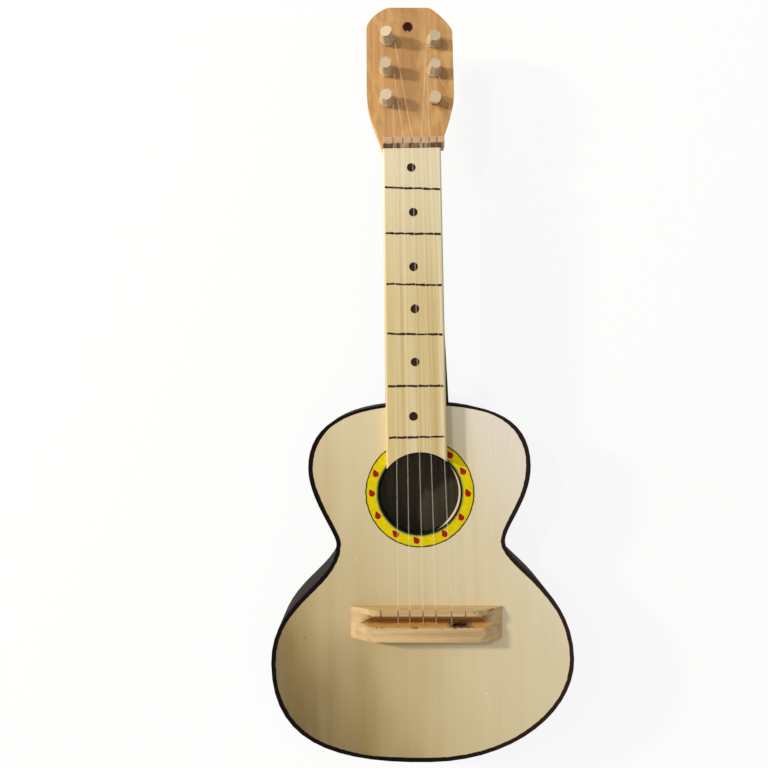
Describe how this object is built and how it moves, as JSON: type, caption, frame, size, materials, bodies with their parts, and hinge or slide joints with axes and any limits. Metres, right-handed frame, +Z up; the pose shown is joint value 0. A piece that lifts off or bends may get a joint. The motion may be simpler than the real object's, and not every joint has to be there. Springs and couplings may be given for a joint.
{
  "type": "broken guitar",
  "caption": "Small hand-made toy guitar lying on its back, with whittled turning pegs and nylon strings, one torn out of the bridge.",
  "frame": {"origin": "on the floor under the middle of the guitar's bounding box; the guitar lies on its back", "axes": "+X across the body to the right as seen from the front with the head up, +Y along the neck from the tail to the head, +Z up out of the soundboard"},
  "size_m": [0.241, 0.6, 0.0623],
  "materials": {
    "pale_top": "pale unstained plywood with a thin satin sealer and a painted edge",
    "painted_sides": "brush-painted black-brown, half gloss",
    "inner_wood": "bare sawn wood",
    "cedar": "sanded orange-brown wood, painted dark on the neck's back",
    "pine": "pale straight-grained wood, satin",
    "nut_wood": "bare reddish wood with inked saw cuts",
    "bridge_wood": "bare sawn wood, torn at one anchor",
    "peg_wood": "whittled pale wood",
    "nylon": "clear drawn nylon"
  },
  "bodies": {
    "guitar": {"soundboard": "pale_top", "back_board": "painted_sides", "side_left": "painted_sides", "side_right": "painted_sides", "neck_block": "inner_wood", "tail_block": "inner_wood", "top_brace_upper": "inner_wood", "top_brace_lower": "inner_wood", "back_brace_upper": "inner_wood", "back_brace_lower": "inner_wood", "neck": "cedar", "fretboard": "pine", "nut": "nut_wood", "bridge": "bridge_wood", "string_1": "nylon", "string_2": "nylon", "string_3": "nylon", "string_4": "nylon", "string_5": "nylon"},
    "peg_left_top": {"peg_left_top": "peg_wood", "turns_3": "nylon"},
    "peg_left_mid": {"peg_left_mid": "peg_wood", "turns_2": "nylon"},
    "peg_left_low": {"peg_left_low": "peg_wood", "turns_1": "nylon"},
    "peg_right_top": {"peg_right_top": "peg_wood", "turns_4": "nylon"},
    "peg_right_mid": {"peg_right_mid": "peg_wood", "turns_5": "nylon"},
    "peg_right_low": {"peg_right_low": "peg_wood"}
  },
  "joints": [
    {"name": "turn_left_top", "type": "hinge", "parent": "guitar", "child": "peg_left_top", "pos_m": [-0.0198, 0.2739, 0.05], "axis": [-0.1375, 0.1564, 0.9781], "range_deg": [-360, 180]},
    {"name": "turn_left_mid", "type": "hinge", "parent": "guitar", "child": "peg_left_mid", "pos_m": [-0.0208, 0.2494, 0.05], "axis": [-0.0856, 0.1908, 0.9779], "range_deg": [-360, 180]},
    {"name": "turn_left_low", "type": "hinge", "parent": "guitar", "child": "peg_left_low", "pos_m": [-0.0213, 0.2254, 0.05], "axis": [-0.0689, 0.1564, 0.9853], "range_deg": [-360, 180]},
    {"name": "turn_right_top", "type": "hinge", "parent": "guitar", "child": "peg_right_top", "pos_m": [0.0162, 0.2719, 0.05], "axis": [0.0871, 0.0175, 0.996], "range_deg": [-180, 360]},
    {"name": "turn_right_mid", "type": "hinge", "parent": "guitar", "child": "peg_right_mid", "pos_m": [0.0162, 0.2484, 0.05], "axis": [0.0687, 0.1736, 0.9824], "range_deg": [-180, 360]},
    {"name": "turn_right_low", "type": "hinge", "parent": "guitar", "child": "peg_right_low", "pos_m": [0.0167, 0.2269, 0.05], "axis": [-0.0169, -0.2419, 0.9701], "continuous": true}
  ]
}
